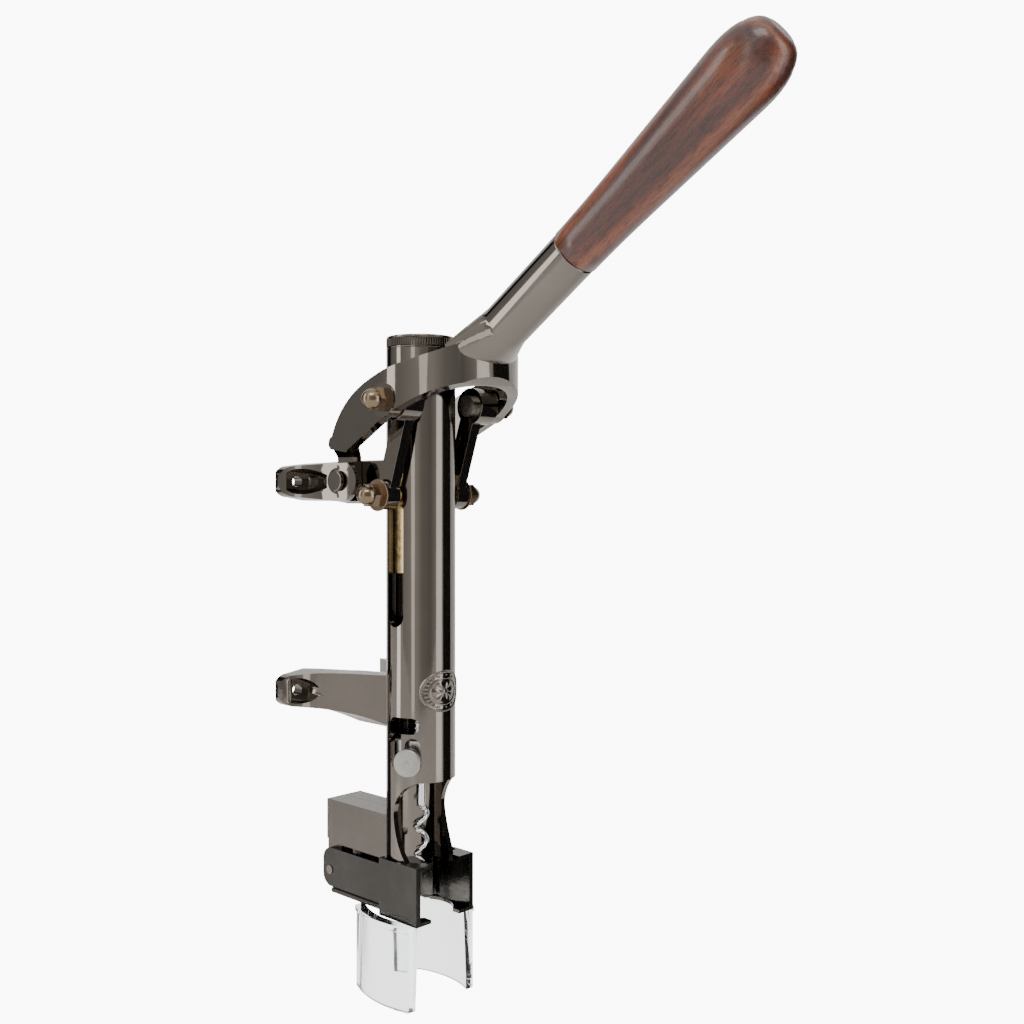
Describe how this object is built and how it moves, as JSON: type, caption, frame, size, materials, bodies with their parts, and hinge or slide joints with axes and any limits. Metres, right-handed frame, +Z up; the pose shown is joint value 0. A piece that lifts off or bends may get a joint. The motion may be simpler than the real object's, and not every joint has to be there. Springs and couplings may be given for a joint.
{
  "type": "lever corkscrew",
  "caption": "Wall-mounted lever corkscrew: upright tube with sliding carriage, steep-pitch spindle and worm, forked lever with a wooden grip, and a hinged neck frame.",
  "frame": {"origin": "middle of the four wall-screw holes, on the wall plane", "axes": "+Z up along the tube, +Y into the wall, +X to the right as seen from the front"},
  "size_m": [0.0916, 0.2528, 0.4018],
  "materials": {
    "black_nickel": "black nickel, polished",
    "bronze_nuts": "bronze-toned plating, satin",
    "satin_steel": "satin steel",
    "steel": "turned steel",
    "chromed_steel": "bright chrome",
    "brass": "turned brass",
    "dark_sheet": "black nickel, satin",
    "clear_plastic": "clear moulding",
    "stained_wood": "stained reddish brown, satin lacquer"
  },
  "bodies": {
    "barrel": {"body_casting": "black_nickel", "top_cap": "black_nickel", "front_badge": "black_nickel", "rear_housing_left": "black_nickel", "rear_housing_right": "black_nickel", "housing_screws": "steel", "lever_pivot_pins": "black_nickel", "frame_hinge_pin": "steel", "frame_spring": "steel"},
    "lever": {"lever_fork": "black_nickel", "handle_tang": "steel", "handle_grip": "stained_wood", "upper_link_studs": "steel", "upper_acorn_nuts": "bronze_nuts"},
    "links": {"link_left": "black_nickel", "link_right": "black_nickel", "lower_link_studs": "steel", "lower_washers": "bronze_nuts", "lower_acorn_nuts": "bronze_nuts"},
    "carriage": {"carriage": "brass", "upper_thrust_washer": "steel", "lower_thrust_washer": "steel"},
    "spindle": {"spindle": "chromed_steel", "spindle_nut": "steel", "worm": "chromed_steel"},
    "latch": {"drive_nut": "steel", "latch_pin": "steel", "latch_knob": "satin_steel"},
    "neck_frame": {"frame_left": "dark_sheet", "frame_right": "dark_sheet", "frame_bottom_plate": "dark_sheet", "neck_seat": "dark_sheet", "guide_left": "clear_plastic", "guide_right": "clear_plastic"}
  },
  "joints": [
    {"name": "lever_swing", "type": "hinge", "parent": "barrel", "child": "lever", "pos_m": [0, -0.0305, 0.0496], "axis": [1, 0, 0], "range_deg": [0, 65]},
    {"name": "link_swing", "type": "hinge", "parent": "lever", "child": "links", "pos_m": [0, -0.072, 0.0845], "axis": [1, 0, 0], "range_deg": [-54.19, 0]},
    {"name": "carriage_slide", "type": "slide", "parent": "barrel", "child": "carriage", "axis": [0, 0, -1], "range_m": [0, 0.05452]},
    {"name": "spindle_turn", "type": "hinge", "parent": "carriage", "child": "spindle", "pos_m": [0, -0.058, 0], "axis": [0, 0, 1], "range_deg": [-1566.5, 0]},
    {"name": "latch_turn", "type": "hinge", "parent": "barrel", "child": "latch", "pos_m": [0, -0.058, -0.077], "axis": [0, 0, 1], "range_deg": [-29, 0]},
    {"name": "neck_frame_tilt", "type": "hinge", "parent": "barrel", "child": "neck_frame", "pos_m": [0, -0.006, -0.139], "axis": [1, 0, 0], "range_deg": [0, 8], "stiffness_Nm_per_rad": 0.6, "springref_deg": -17.19}
  ],
  "couplings": [
    {"joint": "link_swing", "follows": "lever_swing", "ratio": -0.8306},
    {"joint": "carriage_slide", "follows": "lever_swing", "m_per_rad": 0.047885},
    {"joint": "spindle_turn", "follows": "lever_swing", "ratio": -24.07}
  ]
}
